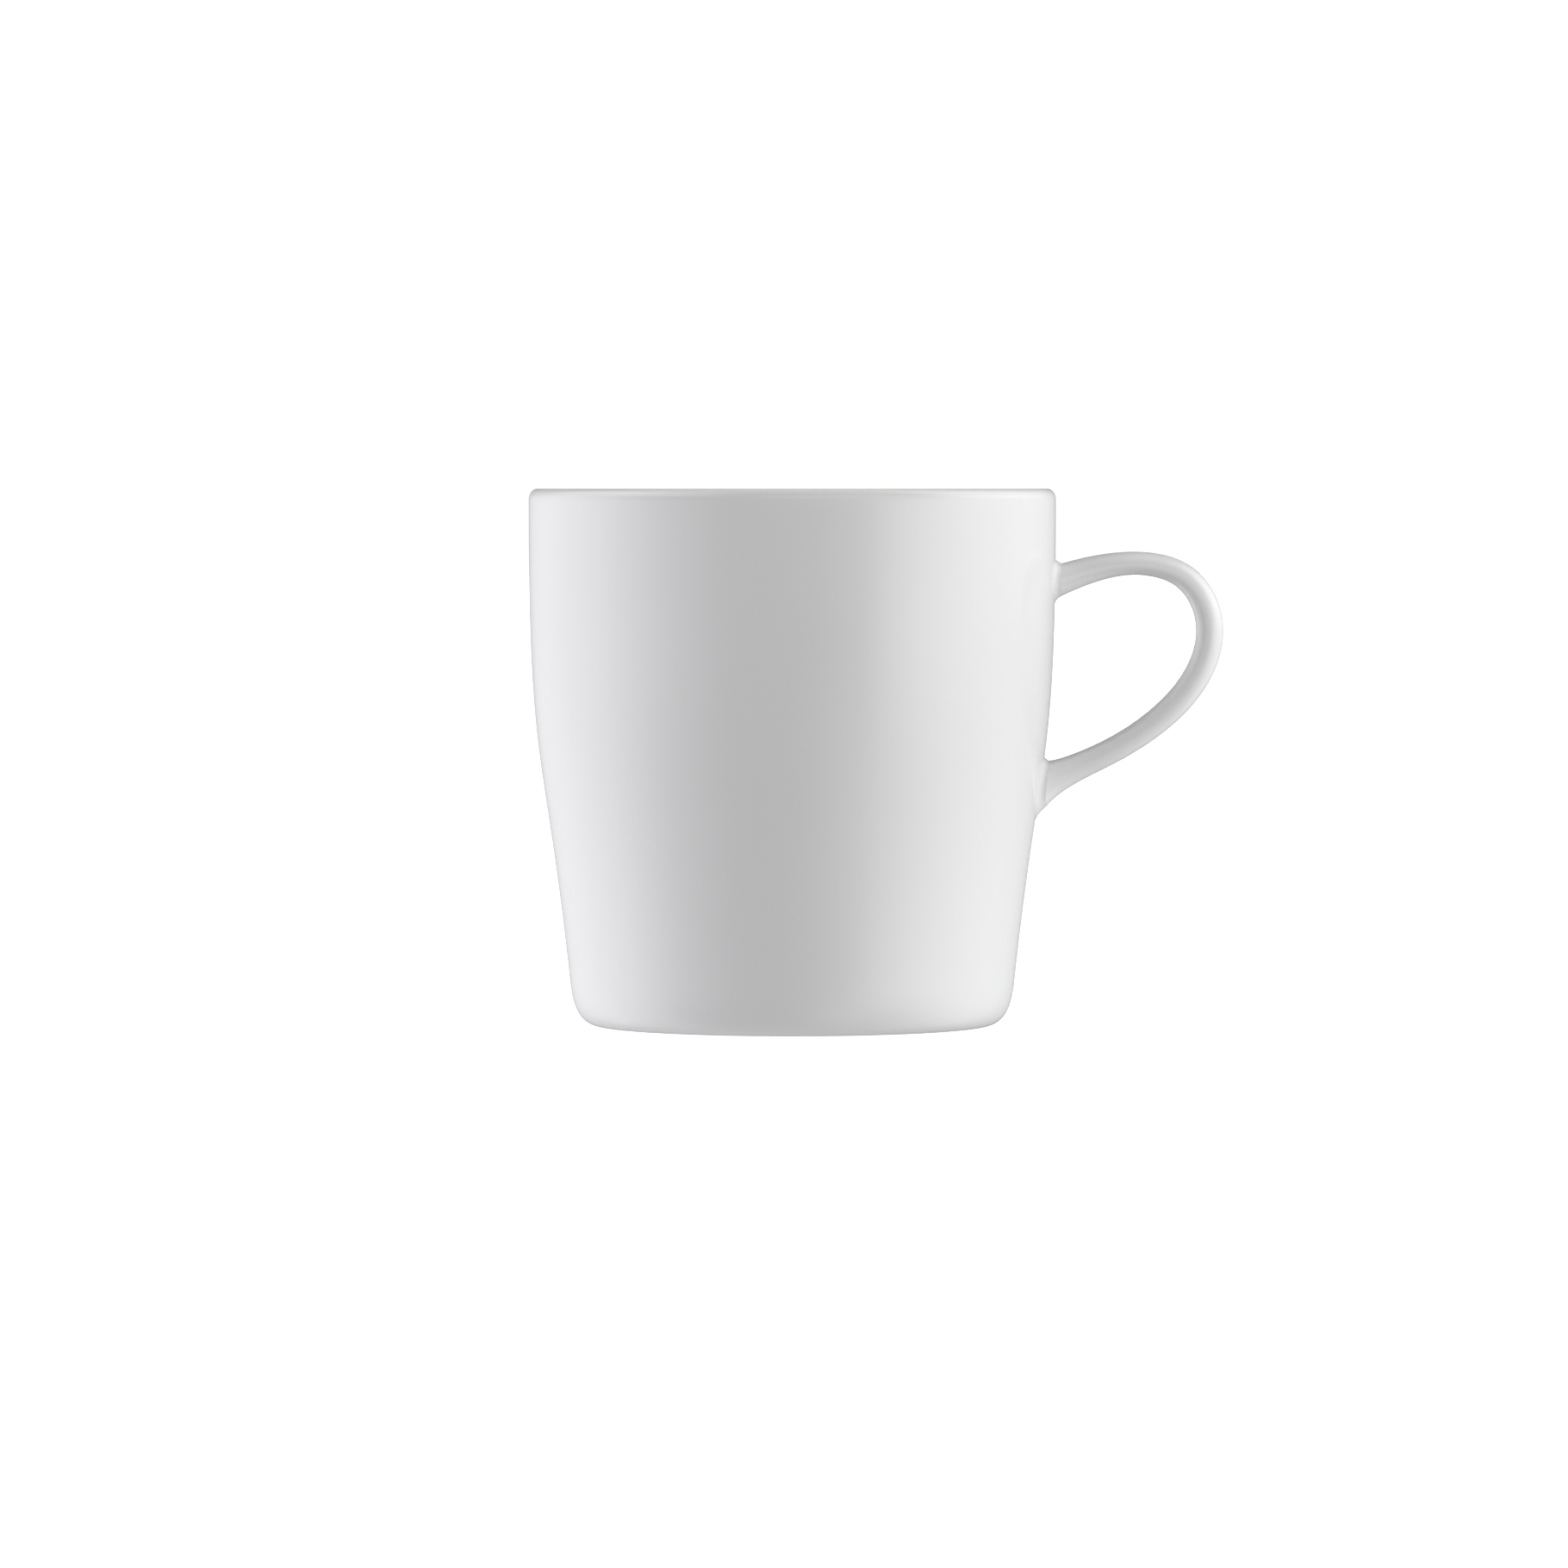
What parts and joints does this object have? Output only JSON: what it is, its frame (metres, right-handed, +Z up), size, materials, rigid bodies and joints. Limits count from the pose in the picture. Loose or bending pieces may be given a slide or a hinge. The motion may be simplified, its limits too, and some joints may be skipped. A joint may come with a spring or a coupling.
{
  "type": "mug",
  "caption": "Straight-sided glazed porcelain mug, gently tapered below the middle, with a rounded heel and a slim ear-shaped handle.",
  "frame": {"origin": "on the plane that the foot ring stands on, at the middle of the mug's box seen from above; the cup's own axis is the upright line 13.7 mm towards -X from it", "axes": "+Z up through the mouth, +X from the cup towards the handle, +Y to the left of someone looking along +X"},
  "size_m": [0.1134, 0.086, 0.0876],
  "materials": {
    "body_glaze": "gloss",
    "handle_glaze": "gloss",
    "slip_glaze": "gloss"
  },
  "bodies": {
    "root": {"cup_body": "body_glaze", "handle": "handle_glaze", "upper_slip_joint": "slip_glaze", "lower_slip_joint": "slip_glaze"}
  },
  "joints": []
}
